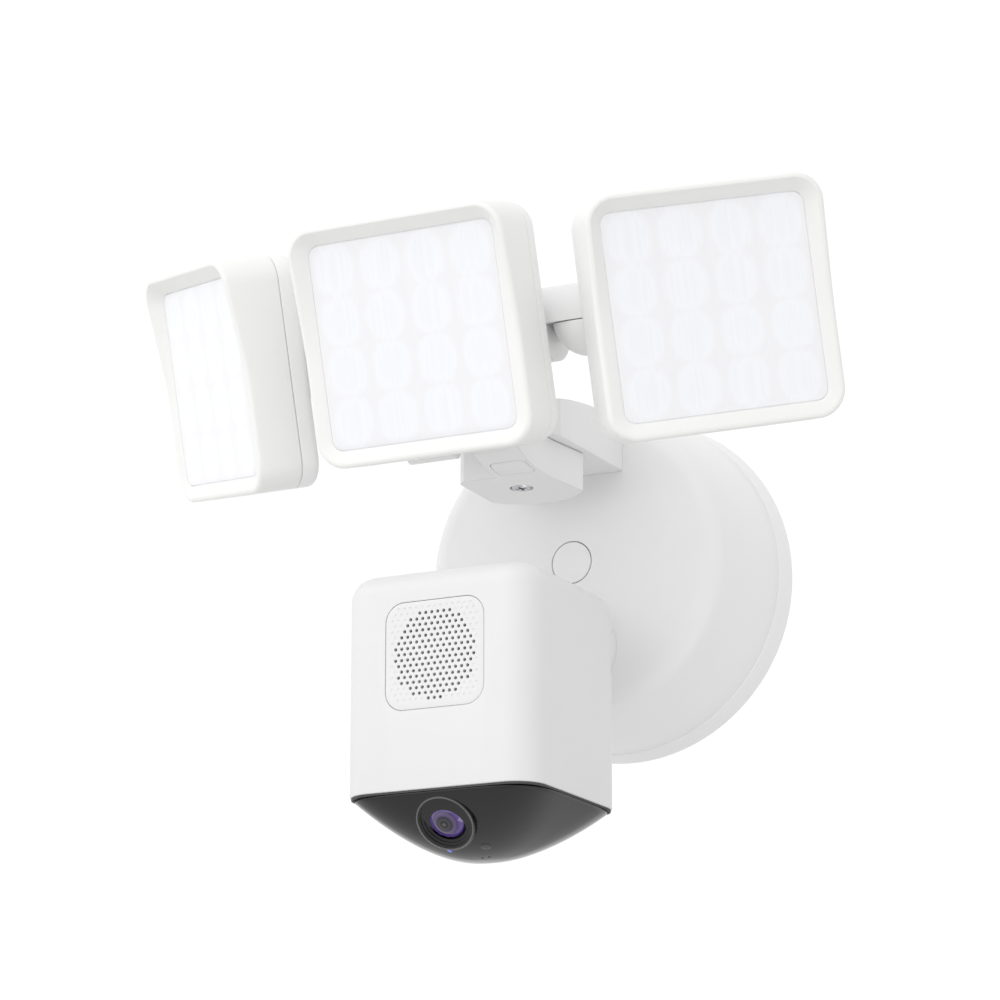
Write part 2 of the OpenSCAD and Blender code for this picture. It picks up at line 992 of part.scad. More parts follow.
function dome_corner(share) = min(cam_r + 26 * (1 - share), dome_hd * share - 0.4);

module dome_cover() {
    color(dark)
        difference() {
            dome_body(0);
            translate([0, 0, 1.9])
                dome_body(1.9);
            lens_axis()
                cylinder(r = lens_r + 0.2, h = 40, center = true, $fn = 64);
            at_dome(led_x, led_back)
                cylinder(r = 0.9, h = 30, center = true, $fn = 24);
            at_dome(sensor_x, sensor_back)
                cylinder(r = 1.9, h = 30, center = true, $fn = 24);
        }
}

// Axis of the lens, pointing forward and down
module lens_axis() {
    translate([0, -lens_y, lens_z])
        rotate([90 + lens_tilt, 0, 0])
            children();
}

// Point on the dome skin, back being its distance behind the camera front
module at_dome(x, back) {
    translate([x, back - cam_front,
            dome_top - dome_drop(pow(pow(abs(x) / dome_hw, 3) + pow(1 - back / dome_hd, 3), 1 / 3))])
        children();
}

module lens_barrel() {
    color(dark)
        lens_axis()
            difference() {
                union() {
                    translate([0, 0, -13])
                        cylinder(r = lens_r, h = 14.2, $fn = 64);
                    translate([0, 0, 1.1])
                        cylinder(r1 = lens_r, r2 = lens_r - 0.7, h = 0.7, $fn = 64);
                }
                translate([0, 0, -4])
                    cylinder(r = 7.2, h = 8, $fn = 64);
                translate([0, 0, -0.4])
                    cylinder(r1 = 7.2, r2 = 9.6, h = 2.4, $fn = 64);
            }
}

module lens_glass() {
    color([0.2, 0.12, 0.35])
        lens_axis()
            intersection() {
                translate([0, 0, -3.98])
                    cylinder(r = 7.15, h = 6, $fn = 64);
                translate([0, 0, -8.6])
                    sphere(r = 9.6, $fn = 64);
            }
}

module status_led() {
    color([0.2, 0.35, 0.9])
        at_dome(led_x, led_back)
            translate([0, 0, 0.2])
                cylinder(r = 0.85, h = 1.6, $fn = 24);
}

module light_sensor() {
    color(mid_grey)
        at_dome(sensor_x, sensor_back)
            translate([0, 0, 0.3])
                cylinder(r = 1.8, h = 1.6, $fn = 24);
}

// ---------- drawing ----------

base_gasket();
base_ring();
base_cover();
crossbar();
ring_screws();
centre_screw();
centre_plug();
driver_board();
board_posts();
neck();
neck_screws();
camera_stub();
stub_screws();
hub_block();
hub_screw();
ear_cover();
arm_tube();
arm_caps();
tilt_bolt();
tilt_nut();
centre_housing();
centre_seal();
centre_led_board();
centre_bezel();
centre_diffuser();
head_screws();
left_knuckle();
left_pivot_screw();
left_housing();
left_seal();
left_led_board();
left_bezel();
left_diffuser();
left_screws();
right_knuckle();
right_pivot_screw();
right_housing();
right_seal();
right_led_board();
right_bezel();
right_diffuser();
right_screws();
camera_fork();
fork_pin();
fork_screws();
camera_shell();
grille_plate();
speaker();
main_board();
board_rails();
seam_trim();
dome_cover();
lens_barrel();
lens_glass();
status_led();
light_sensor();
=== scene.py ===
import math, json
import bpy, bmesh
from mathutils import Vector, Matrix


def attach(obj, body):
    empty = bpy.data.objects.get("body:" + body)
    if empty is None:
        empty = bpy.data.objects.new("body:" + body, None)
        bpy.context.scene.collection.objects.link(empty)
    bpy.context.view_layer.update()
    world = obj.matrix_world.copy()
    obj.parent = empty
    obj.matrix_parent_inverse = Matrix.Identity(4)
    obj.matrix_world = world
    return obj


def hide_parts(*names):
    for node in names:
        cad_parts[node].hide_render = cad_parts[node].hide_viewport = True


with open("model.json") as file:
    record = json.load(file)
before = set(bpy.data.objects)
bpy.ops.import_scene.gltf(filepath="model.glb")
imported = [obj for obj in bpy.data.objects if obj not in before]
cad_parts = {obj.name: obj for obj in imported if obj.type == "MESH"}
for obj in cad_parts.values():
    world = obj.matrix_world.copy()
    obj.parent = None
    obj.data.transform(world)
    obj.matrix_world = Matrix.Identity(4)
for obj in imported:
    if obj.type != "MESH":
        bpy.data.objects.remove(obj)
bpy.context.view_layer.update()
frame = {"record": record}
MM = 0.001
GRAIN_MM = 0.6
LED_PITCH = 18
RAMP_MM = 12


# ---------- materials ----------

def new_mat(name):
    m = bpy.data.materials.new(name)
    m.use_nodes = True
    nt = m.node_tree
    return m, nt, nt.nodes["Principled BSDF"]


def plastic(name, rgb, rough=0.45, grain=0.0, bevel_mm=0.5, tone=0.012):
    """Moulded plastic: slight tone and roughness variation, fine grain, rounded edges."""
    m, nt, b = new_mat(name)
    n, l = nt.nodes, nt.links
    tc = n.new("ShaderNodeTexCoord")
    cloud = n.new("ShaderNodeTexNoise")
    cloud.inputs["Scale"].default_value = 14
    cloud.inputs["Detail"].default_value = 3
    l.new(tc.outputs["Object"], cloud.inputs["Vector"])
    ramp = n.new("ShaderNodeValToRGB")
    ramp.color_ramp.elements[0].position = 0.3
    ramp.color_ramp.elements[1].position = 0.7
    ramp.color_ramp.elements[0].color = [max(0, c - tone) for c in rgb] + [1]
    ramp.color_ramp.elements[1].color = [min(1, c + tone) for c in rgb] + [1]
    l.new(cloud.outputs["Fac"], ramp.inputs["Fac"])
    l.new(ramp.outputs["Color"], b.inputs["Base Color"])
    mr = n.new("ShaderNodeMapRange")
    mr.inputs["To Min"].default_value = max(0.02, rough - 0.04)
    mr.inputs["To Max"].default_value = rough + 0.04
    l.new(cloud.outputs["Fac"], mr.inputs["Value"])
    l.new(mr.outputs["Result"], b.inputs["Roughness"])
    last = None
    if bevel_mm:
        bv = n.new("ShaderNodeBevel")
        bv.samples = 6
        bv.inputs["Radius"].default_value = bevel_mm * MM
        last = bv.outputs["Normal"]
    if grain:
        g = n.new("ShaderNodeTexNoise")
        g.inputs["Scale"].default_value = 1000 / GRAIN_MM
        g.inputs["Detail"].default_value = 2
        l.new(tc.outputs["Object"], g.inputs["Vector"])
        bp = n.new("ShaderNodeBump")
        bp.inputs["Strength"].default_value = grain
        bp.inputs["Distance"].default_value = 0.05 * MM
        l.new(g.outputs["Fac"], bp.inputs["Height"])
        if last:
            l.new(last, bp.inputs["Normal"])
        last = bp.outputs["Normal"]
    if last:
        l.new(last, b.inputs["Normal"])
    return m


def metal(name, rgb, rough=0.3):
    """Bare steel: fine roughness variation and slightly rounded edges."""
    m, nt, b = new_mat(name)
    n, l = nt.nodes, nt.links
    tc = n.new("ShaderNodeTexCoord")
    no = n.new("ShaderNodeTexNoise")
    no.inputs["Scale"].default_value = 900
    no.inputs["Detail"].default_value = 4
    l.new(tc.outputs["Object"], no.inputs["Vector"])
    mr = n.new("ShaderNodeMapRange")
    mr.inputs["To Min"].default_value = rough - 0.08
    mr.inputs["To Max"].default_value = rough + 0.12
    l.new(no.outputs["Fac"], mr.inputs["Value"])
    l.new(mr.outputs["Result"], b.inputs["Roughness"])
    b.inputs["Base Color"].default_value = (*rgb, 1)
    b.inputs["Metallic"].default_value = 1.0
    bv = n.new("ShaderNodeBevel")
    bv.samples = 4
    bv.inputs["Radius"].default_value = 0.2 * MM
    l.new(bv.outputs["Normal"], b.inputs["Normal"])
    return m


def set_mat(node, mat):
    o = bpy.data.objects[node]
    o.data.materials.clear()
    o.data.materials.append(mat)
    for p in o.data.polygons:
        p.material_index = 0


# The camera and grille whites are darker copies of the same white plastic: painted shade.
WHITE = plastic("white_shell", (0.845, 0.845, 0.845), rough=0.42, grain=0.12, bevel_mm=0.5)
GRILLE_WHITE_SHADED = plastic("grille_shell_shaded", (0.755, 0.755, 0.755), rough=0.42, grain=0.06, bevel_mm=0)
CAM_WHITE_SHADED = plastic("camera_white", (0.755, 0.755, 0.755), rough=0.42, grain=0.12, bevel_mm=0.5)
HEAD = plastic("head_shell", (0.87, 0.87, 0.865), rough=0.42, grain=0.12, bevel_mm=0.4)
FRAME = plastic("frame_shell", (0.86, 0.86, 0.845), rough=0.4, grain=0.1, bevel_mm=0.6)
RUBBER = plastic("seal_rubber", (0.05, 0.05, 0.05), rough=0.7, bevel_mm=0)
STEEL = metal("screw_steel", (0.6, 0.6, 0.62))
BOARD = plastic("board_green", (0.03, 0.14, 0.06), rough=0.4, bevel_mm=0.1, tone=0.01)
LEDB = plastic("led_board_white", (0.85, 0.85, 0.82), rough=0.4, bevel_mm=0)
BLACK = plastic("speaker_black", (0.02, 0.02, 0.02), rough=0.6, bevel_mm=0.1, tone=0.004)
DOME = plastic("dome_gloss", (0.006, 0.006, 0.0065), rough=0.1, bevel_mm=0, tone=0.001)


def radial(name, stops, rough, coat):
    """Rings of colour about the local Z axis, radius in mm."""
    m, nt, b = new_mat(name)
    n, l = nt.nodes, nt.links
    tc = n.new("ShaderNodeTexCoord")
    flat = n.new("ShaderNodeVectorMath")
    flat.operation = "MULTIPLY"
    flat.inputs[1].default_value = (1 / (RAMP_MM * MM), 1 / (RAMP_MM * MM), 0)
    l.new(tc.outputs["Object"], flat.inputs[0])
    ln = n.new("ShaderNodeVectorMath")
    ln.operation = "LENGTH"
    l.new(flat.outputs["Vector"], ln.inputs[0])
    ramp = n.new("ShaderNodeValToRGB")
    el = ramp.color_ramp.elements
    while len(el) > 1:
        el.remove(el[-1])
    for i, (r, c) in enumerate(stops):
        e = el[0] if i == 0 else el.new(r / RAMP_MM)
        e.position = r / RAMP_MM
        e.color = (*c, 1)
    l.new(ln.outputs["Value"], ramp.inputs["Fac"])
    l.new(ramp.outputs["Color"], b.inputs["Base Color"])
    no = n.new("ShaderNodeTexNoise")
    no.inputs["Scale"].default_value = 500
    l.new(tc.outputs["Object"], no.inputs["Vector"])
    mr = n.new("ShaderNodeMapRange")
    mr.inputs["To Min"].default_value = max(0.01, rough - 0.02)
    mr.inputs["To Max"].default_value = rough + 0.03
    l.new(no.outputs["Fac"], mr.inputs["Value"])
    l.new(mr.outputs["Result"], b.inputs["Roughness"])
    b.inputs["Coat Weight"].default_value = coat
    b.inputs["Coat Roughness"].default_value = 0.02
    return m


K = (0.004, 0.004, 0.005)
LENSB = radial("lens_black", [(0, K), (9.85, K), (10.1, (0.05, 0.05, 0.05)), (10.4, (0.14, 0.14, 0.14)),
                              (10.7, (0.05, 0.05, 0.05)), (10.9, K)], 0.22, 0.0)
# Violet rings: the coating's own tint, painted as reflections of the inner lens elements; the small grey ring
# at the centre is a painted highlight.
COATING_AND_REFLECTIONS = [
    (0, (0.001, 0.001, 0.001)), (0.35, (0.12, 0.12, 0.13)), (0.7, (0.002, 0.002, 0.002)),
    (1.5, (0.003, 0.003, 0.003)), (1.9, (0.05, 0.045, 0.06)), (2.3, (0.004, 0.004, 0.006)),
    (2.9, (0.02, 0.01, 0.05)), (3.5, (0.09, 0.06, 0.15)), (4.1, (0.08, 0.05, 0.14)),
    (4.5, (0.03, 0.015, 0.08)), (5.0, (0.09, 0.045, 0.25)), (5.9, (0.13, 0.07, 0.33)),
    (6.5, (0.03, 0.012, 0.09)), (7.0, K),
]
GLASS = radial("lens_coating_and_reflections", COATING_AND_REFLECTIONS, 0.05, 0.5)
BLUE = plastic("status_blue", (0.15, 0.2, 0.85), rough=0.2, bevel_mm=0, tone=0.01)
BLUE.node_tree.nodes["Principled BSDF"].inputs["Emission Color"].default_value = (0.2, 0.12, 0.8, 1)
BLUE.node_tree.nodes["Principled BSDF"].inputs["Emission Strength"].default_value = 0.15
SENSOR = plastic("sensor_grey", (0.035, 0.035, 0.038), rough=0.2, bevel_mm=0, tone=0.01)


def diffuser_mat():
    """Opal lens: fine upright flutes, a painted glow over the whole lens and a faint painted oval highlight
    in front of each of the sixteen lights.
    """
    m, nt, b = new_mat("diffuser_painted_glow")
    n, l = nt.nodes, nt.links

    def math_node(op, *args):
        nd = n.new("ShaderNodeMath")
        nd.operation = op
        for i, a in enumerate(args):
            if isinstance(a, (int, float)):
                nd.inputs[i].default_value = a
            else:
                l.new(a, nd.inputs[i])
        return nd.outputs[0]

    tc = n.new("ShaderNodeTexCoord")
    sep = n.new("ShaderNodeSeparateXYZ")
    l.new(tc.outputs["Object"], sep.inputs[0])
    st = n.new("ShaderNodeMapping")
    st.inputs["Scale"].default_value = (900, 1, 22)
    l.new(tc.outputs["Object"], st.inputs["Vector"])
    streak = n.new("ShaderNodeTexNoise")
    streak.inputs["Scale"].default_value = 1.0
    streak.inputs["Detail"].default_value = 3
    l.new(st.outputs["Vector"], streak.inputs["Vector"])
    cells = []
    for axis, half in (("X", 7.6), ("Z", 9.0)):
        t = math_node("MULTIPLY", sep.outputs[axis], 1 / (LED_PITCH * MM))
        t = math_node("FRACT", t)
        t = math_node("SUBTRACT", t, 0.5)
        t = math_node("MULTIPLY", t, LED_PITCH / half)
        cells.append(math_node("POWER", math_node("ABSOLUTE", t), 2.4))
    d = math_node("ADD", cells[0], cells[1])
    wob = math_node("MULTIPLY", math_node("SUBTRACT", streak.outputs["Fac"], 0.5), 2.2)
    d = math_node("ADD", d, wob)
    # Brighter ovals, one in front of each light: painted highlights.
    ramp = n.new("ShaderNodeValToRGB")
    el = ramp.color_ramp.elements
    el[0].position, el[0].color = 0.0, (0.945, 0.955, 0.99, 1)
    el[1].position, el[1].color = 1.0, (0.932, 0.93, 0.95, 1)
    for pos, c in ((0.35, (0.955, 0.965, 0.995)), (0.6, (0.965, 0.97, 1.0)), (0.82, (0.94, 0.94, 0.962))):
        e = el.new(pos)
        e.color = (*c, 1)
    l.new(math_node("MULTIPLY", d, 0.75), ramp.inputs["Fac"])
    mix = n.new("ShaderNodeMixRGB")
    mix.blend_type = "MULTIPLY"
    mix.inputs["Fac"].default_value = 1.0
    sr = n.new("ShaderNodeMapRange")
    sr.inputs["From Min"].default_value = 0.35
    sr.inputs["From Max"].default_value = 0.65
    sr.inputs["To Min"].default_value = 0.98
    sr.inputs["To Max"].default_value = 1.0
    l.new(streak.outputs["Fac"], sr.inputs["Value"])
    l.new(ramp.outputs["Color"], mix.inputs["Color1"])
    l.new(sr.outputs["Result"], mix.inputs["Color2"])
    dim = n.new("ShaderNodeMixRGB")
    dim.blend_type = "MULTIPLY"
    dim.inputs["Fac"].default_value = 1.0
    dim.inputs["Color2"].default_value = (0.5, 0.5, 0.5, 1)
    l.new(mix.outputs["Color"], dim.inputs["Color1"])
    l.new(dim.outputs["Color"], b.inputs["Base Color"])
    l.new(mix.outputs["Color"], b.inputs["Emission Color"])
    bump = n.new("ShaderNodeBump")
    bump.inputs["Strength"].default_value = 0.2
    bump.inputs["Distance"].default_value = 0.05 * MM
    l.new(streak.outputs["Fac"], bump.inputs["Height"])
    l.new(bump.outputs["Normal"], b.inputs["Normal"])
    l.new(math_node("ADD", math_node("MULTIPLY", streak.outputs["Fac"], 0.1), 0.3), b.inputs["Roughness"])
    # Emission over the whole lens is a painted glow with no lamp behind it; the base colour is halved above
    # to make room for it.
    b.inputs["Emission Strength"].default_value = 0.43
    return m


DIFF = diffuser_mat()

BY_SLOT = {
    "white_plastic": WHITE, "head_plastic": HEAD, "frame_plastic": FRAME, "diffuser_plastic": DIFF,
    "seal_rubber": RUBBER, "screw_steel": STEEL, "circuit_board": BOARD, "led_board_white": LEDB,
    "camera_white": CAM_WHITE_SHADED, "speaker_black": BLACK, "dome_black": DOME, "lens_black": LENSB,
    "lens_coated_glass": GLASS, "status_blue": BLUE, "sensor_grey": SENSOR,
}
for sp in frame["record"]["subparts"]:
    set_mat(sp["node"], BY_SLOT[sp["material_slot"]])


# ---------- mesh helpers ----------

def T(x, y, z):
    return Matrix.Translation((x * MM, y * MM, z * MM))


def RX(d):
    return Matrix.Rotation(math.radians(d), 4, "X")


def RZ(d):
    return Matrix.Rotation(math.radians(d), 4, "Z")


def place(name, bm, mat, body, m=None, sharp=32, nodes=()):
    """Turns a bmesh in mm into an object that rides on a body and stands for CAD nodes."""
    bmesh.ops.recalc_face_normals(bm, faces=bm.faces)
    me = bpy.data.meshes.new(name)
    bm.to_mesh(me)
    bm.free()
    me.transform(Matrix.Scale(MM, 4))
    for p in me.polygons:
        p.use_smooth = True
    me.set_sharp_from_angle(angle=math.radians(sharp))
    me.materials.append(mat)
    o = bpy.data.objects.new(name, me)
    bpy.context.collection.objects.link(o)
    if m is not None:
        o.matrix_world = m
    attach(o, body)
    if nodes:
        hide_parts(*nodes)
    return o


def cut_mesh(bm, cutters):
    """Subtracts closed bmeshes from a closed bmesh and gives back the result."""
    def as_object(b2):
        me = bpy.data.meshes.new("tmp")
        bmesh.ops.recalc_face_normals(b2, faces=b2.faces)
        b2.to_mesh(me)
        b2.free()
        o = bpy.data.objects.new("tmp", me)
        bpy.context.collection.objects.link(o)
        return o
    o = as_object(bm)
    tools = [as_object(c) for c in cutters]
    for t in tools:
        mod = o.modifiers.new("cut", "BOOLEAN")
        mod.operation = "DIFFERENCE"
        mod.solver = "EXACT"
        mod.object = t
    dg = bpy.context.evaluated_depsgraph_get()
    me = bpy.data.meshes.new_from_object(o.evaluated_get(dg))
    out = bmesh.new()
    out.from_mesh(me)
    for x in [o] + tools:
        bpy.data.objects.remove(x)
    return out


def loft(bm, rings, cap0=False, cap1=False, closed=False):
    """Skin over rings of equal length, each a closed loop of points."""
    vs = [[bm.verts.new(p) for p in r] for r in rings]
    n = len(vs[0])
    pairs = list(zip(vs, vs[1:])) + ([(vs[-1], vs[0])] if closed else [])
    for r0, r1 in pairs:
        for i in range(n):
            j = (i + 1) % n
            bm.faces.new((r0[i], r0[j], r1[j], r1[i]))
    if cap0:
        bm.faces.new(vs[0])
    if cap1:
        bm.faces.new(vs[-1])
    return vs


def outline(hw, hh, r, arc=12, side=16):
    """Rounded rectangle as (x, z, nx, nz), anticlockwise."""
    out = []
    for k, (cx, cz) in enumerate(((1, 1), (-1, 1), (-1, -1), (1, -1))):
        a0 = 90 * k
        x0, z0 = cx * (hw - r), cz * (hh - r)
        for i in range(arc + 1):
            a = math.radians(a0 + 90 * i / arc)
            out.append((x0 + r * math.cos(a), z0 + r * math.sin(a), math.cos(a), math.sin(a)))
        nx, nz = ((-1, 1), (-1, -1), (1, -1), (1, 1))[k]
        a = math.radians(a0 + 90)
        x1, z1 = nx * (hw - r) + r * math.cos(a), nz * (hh - r) + r * math.sin(a)
        xs, zs = out[-1][0], out[-1][1]
        for i in range(1, side):
            t = i / side
            out.append((xs + (x1 - xs) * t, zs + (z1 - zs) * t, math.cos(a), math.sin(a)))
    return out


def inset_ring(pts, d, y):
    """Ring of an outline moved inwards by d, at depth y (a number or a function of z)."""
    f = y if callable(y) else (lambda z: y)
    return [(x - nx * d, f(z - nz * d), z - nz * d) for x, z, nx, nz in pts]


def circle(n):
    """Cosine and sine of n even steps round a full turn."""
    return [(math.cos(2 * math.pi * i / n), math.sin(2 * math.pi * i / n)) for i in range(n)]


def arc_steps(n):
    """Angles of a quarter turn in n steps."""
    return [math.pi / 2 * i / n for i in range(n + 1)]


TILT_Y, TILT_Z, TILT_DEG = -149.4, 63.4, 17
KNUCKLE_X = 51.1
BAR = T(0, TILT_Y, TILT_Z) @ RX(TILT_DEG)
CENTRE = BAR @ T(0, -40.8, 1.5)
TURN = {1: 35.5, -1: -39.3}


def side_m(s):
    """Place of a side head: 1 is the right one, -1 the left one."""
    return BAR @ T(s * KNUCKLE_X, 0, 0) @ RZ(TURN[s]) @ T(s * 36.4, -38, -2.9)


# ---------- light heads ----------

HW, HH, HR = 42.75, 43.1, 10.5
RIM, HOOD = 1.2, 5.0


def rim_y(z):
    """Depth of the frame's front edge: level below the middle, standing forward above it."""
    soft = 5.0
    t = (z + math.sqrt(z * z + soft * soft)) / 2 - soft * 0.1
    return -RIM - HOOD * max(0.0, t) / HH


def head_frame(name, body, m, nodes):
    pts = outline(HW, HH, HR, 12, 22)
    bm = bmesh.new()
    r = 1.5
    rings = [inset_ring(pts, 2.2, 15.6), inset_ring(pts, 0.3, 15.6), inset_ring(pts, 0.05, 15.4),
             inset_ring(pts, 0, 15.0)]
    for t in (0.35, 0.7):
        rings.append([(p[0], 15.0 + (rim_y(p[1]) + r - 15.0) * t, p[1]) for p in pts])
    for a in arc_steps(6):
        d = r - r * math.cos(a)
        rings.append(inset_ring(pts, d, lambda z, a=a: rim_y(z) + r - r * math.sin(a)))
    rings.append(inset_ring(pts, r + 0.5, lambda z: rim_y(z) + 0.02))
    rings.append(inset_ring(pts, r + 0.8, lambda z: rim_y(z) * 0.93 + 0.03))
    for t in (0.35, 0.7):
        rings.append(inset_ring(pts, r + 0.8 + (6.05 - r - 0.8) * t,
                                lambda z, t=t: rim_y(z) * 0.93 * (1 - t)))
    rings.append(inset_ring(pts, 6.05, 0.02))
    rings.append(inset_ring(pts, 6.15, 0.12))
    rings.append(inset_ring(pts, 6.15, 1.6))
    loft(bm, rings)
    return place(name, bm, FRAME, body, m, sharp=40, nodes=nodes)


def head_back(name, body, m, nodes):
    pts = outline(HW, HH, HR, 12, 8)
    bm = bmesh.new()
    r = 2.8
    rings = [inset_ring(pts, 2.2, 15.78), inset_ring(pts, 0.3, 15.78), inset_ring(pts, 0.05, 15.98),
             inset_ring(pts, 0, 16.4), inset_ring(pts, 0, 23.1 - r)]
    for a in arc_steps(7)[1:]:
        rings.append(inset_ring(pts, r - r * math.cos(a), 23.1 - r + r * math.sin(a)))
    rings.append(inset_ring(pts, 6, 23.1))
    loft(bm, rings, cap1=True)
    return place(name, bm, HEAD, body, m, sharp=40, nodes=nodes)


def diffuser_skin(name, body, m, nodes):
    pts = outline(36.5, 36.5, 3.9, 10, 4)
    bm = bmesh.new()
    rings = [inset_ring(pts, -1.6, 2.4), inset_ring(pts, -1.6, 1.7),
             inset_ring(pts, 0, 1.65), inset_ring(pts, 0, 0.3),
             inset_ring(pts, 0.06, 0.13), inset_ring(pts, 0.25, 0.05), inset_ring(pts, 2.5, 0.05)]
    loft(bm, rings, cap0=True, cap1=True)
    return place(name, bm, DIFF, body, m, sharp=40, nodes=nodes)


for tag, body, m in (("centre", "light_bar", CENTRE), ("left", "left_head", side_m(-1)),
                     ("right", "right_head", side_m(1))):
    head_frame(tag + "_frame_skin", body, m, [tag + "_bezel"])
    head_back(tag + "_back_skin", body, m, [tag + "_housing"])
    diffuser_skin(tag + "_diffuser_skin", body, m, [tag + "_diffuser"])


# ---------- camera ----------

CX, CY = 0, -133.25
CHW, CHD, CR = 37.8, 36.95, 11.5
Z_TOP, Z_BOT = -25.8, -105.1


def plan_ring(pts, d, z):
    return [(CX + x - nx * d, CY + y - ny * d, z) for x, y, nx, ny in pts]


FRONT_Y, GRILLE_Z = -170.2, -57.5


def front_prism(hw, r, y0, y1):
    bm = bmesh.new()
    pts = outline(hw, hw, r, 12, 4)
    loft(bm, [[(x, y, z + GRILLE_Z) for x, z, nx, nz in pts] for y in (y0, y1)], cap0=True, cap1=True)
    return bm


def camera_skin():
    pts = outline(CHW, CHD, CR, 16, 6)
    bm = bmesh.new()
    r = 9.0
    rings = [plan_ring(pts, 2.4, Z_TOP - 6.4), plan_ring(pts, 2.4, Z_BOT), plan_ring(pts, 0.5, Z_BOT),
             plan_ring(pts, 0.15, Z_BOT + 0.15), plan_ring(pts, 0, Z_BOT + 0.5), plan_ring(pts, 0, Z_TOP - r)]
    for a in arc_steps(12)[1:]:
        rings.append(plan_ring(pts, r - r * math.cos(a), Z_TOP - r + r * math.sin(a)))
    loft(bm, rings, cap0=True, cap1=True)
    bm = cut_mesh(bm, [front_prism(19.4, 7.2, FRONT_Y - 2, FRONT_Y + 1.6),
                       front_prism(16.8, 16.7, FRONT_Y - 2, FRONT_Y + 4)])
    return place("camera_shell_skin", bm, CAM_WHITE_SHADED, "camera",
                 nodes=["camera_shell"], sharp=30)


def grille_skin():
    """Plate with through holes in a round field and shallow dimples around it."""
    bm = bmesh.new()
    half, pitch, field, rise = 19.25, 2.36, 16.2, 0.62
    y0, y1 = FRONT_Y - 0.03, FRONT_Y + 1.55
    pts = outline(half, half, 7.0, 12, 4)
    edge = 0.3
    face = [[(x - nx * d, y, z - nz * d + GRILLE_Z) for x, z, nx, nz in pts]
            for d, y in ((0, y1), (0, y0 + edge), (edge * 0.3, y0 + edge * 0.3), (edge, y0))]
    vs = loft(bm, face)
    loops = [vs[-1]]
    for row in range(-9, 10):
        for col in range(-9, 10):
            px = (col + (0 if row % 2 == 0 else 0.5)) * pitch
            pz = row * pitch * 0.866 + rise
            over = [max(0, abs(c) - (half - 7.0)) for c in (px, pz)]
            if math.hypot(*over) > 7.0 - 1.9:
                continue
            through = math.hypot(px, pz) < field
            r = 0.62 if through else 0.5
            n = 14

            def circ(rr, y):
                return [bm.verts.new((px + rr * c, y, GRILLE_Z + pz + rr * q)) for c, q in circle(n)]
            outer = circ(r + 0.06, y0)
            inner = circ(r, y0 + 0.07)
            last = circ(r if through else r * 0.55, y1 if through else y0 + 0.22)
            for ra, rb in ((outer, inner), (inner, last)):
                for i in range(n):
                    j = (i + 1) % n
                    bm.faces.new((ra[i], ra[j], rb[j], rb[i]))
            if not through:
                bm.faces.new(last)
            loops.append(outer)
    es = []
    for lp in loops:
        for i in range(len(lp)):
            ends = (lp[i], lp[(i + 1) % len(lp)])
            es.append(bm.edges.get(ends) or bm.edges.new(ends))
    bmesh.ops.triangle_fill(bm, use_beauty=True, use_dissolve=False, edges=es)
    return place("grille_skin", bm, GRILLE_WHITE_SHADED, "camera",
                 nodes=["grille_plate"], sharp=30)


camera_skin()
grille_skin()
DHW, DHD, DDEP, DTOP = CHW - 0.45, CHD - 0.45, 19.6, Z_BOT - 0.8


def dome_power(s):
    return 2.3 + 3.4 * s ** 3


def dome_point(s, a):
    c, q = math.cos(a), math.sin(a)
    p = dome_power(s)
    u = (abs(c) ** p + abs(q) ** p) ** (-1 / p)
    return (CX + DHW * s * u * c, CY + DHD * s * u * q, DTOP - 0.6 - (DDEP - 0.6) * (1 - s ** 2.2))


def dome_z(x, y):
    """Height of the dome skin under a point of the plan."""
    ax, ay = abs(x - CX) / DHW, abs(y - CY) / DHD
    lo, hi = 0.0, 1.0
    for _ in range(40):
        s = (lo + hi) / 2
        p = dome_power(s)
        if (ax ** p + ay ** p) ** (1 / p) > s:
            lo = s
        else:
            hi = s
    return DTOP - 0.6 - (DDEP - 0.6) * (1 - lo ** 2.2)


def dome_skin():
    bm = bmesh.new()
    rings = []
    n = 144
    angles = [2 * math.pi * (i + 0.5) / n for i in range(n)]
    for k in range(0, 30):
        s = 1 - (k / 30) ** 1.15
        rings.append([dome_point(s, a) for a in angles])
    lip = [[(CX + (x - CX) * f, CY + (y - CY) * f, z + dz) for x, y, z in rings[0]]
           for f, dz in ((0.95, 0.6), (0.988, 0.6), (0.996, 0.5), (1.0, 0.3))]
    loft(bm, lip + rings, cap1=True)
    return place("dome_skin", bm, DOME, "camera", nodes=["dome_cover"], sharp=50)


def dome_disc(name, x, back, rx, ry, lift, mat, node):
    """Thin lens shaped disc let into the dome skin."""
    y = FRONT_Y + back
    h = 0.4
    nrm = Vector((dome_z(x - h, y) - dome_z(x + h, y), dome_z(x, y - h) - dome_z(x, y + h), 2 * h))
    rot = (-nrm.normalized()).to_track_quat("Z", "X").to_matrix().to_4x4()
    m = T(x, y, dome_z(x, y)) @ rot
    bm = bmesh.new()
    rings = [[(f * rx * c, f * ry * q, z) for c, q in circle(32)]
             for f, z in ((1, -0.6), (1, lift - 0.05), (0.93, lift), (0.5, lift + 0.02))]
    loft(bm, rings, cap0=True, cap1=True)
    return place(name, bm, mat, "camera", m, nodes=[node] if node else ())


dome_skin()
dome_disc("status_led_skin", -5.8, 23.4, 1.0, 0.8, 0.12, BLUE, "status_led")
dome_disc("light_sensor_skin", 8.5, 23.2, 1.9, 1.9, 0.1, SENSOR, "light_sensor")
# The mic slots are not cut: a matte black disc stands in for each opening, with the shade inside it painted
# on.
for k, x in enumerate((3.0, 5.6)):
    dome_disc("mic_slot_%d" % (k + 1), x, 31.5, 1.0, 0.45, 0.03, BLACK, None)

LENS = T(0, -160.5, -115.3) @ RX(130)


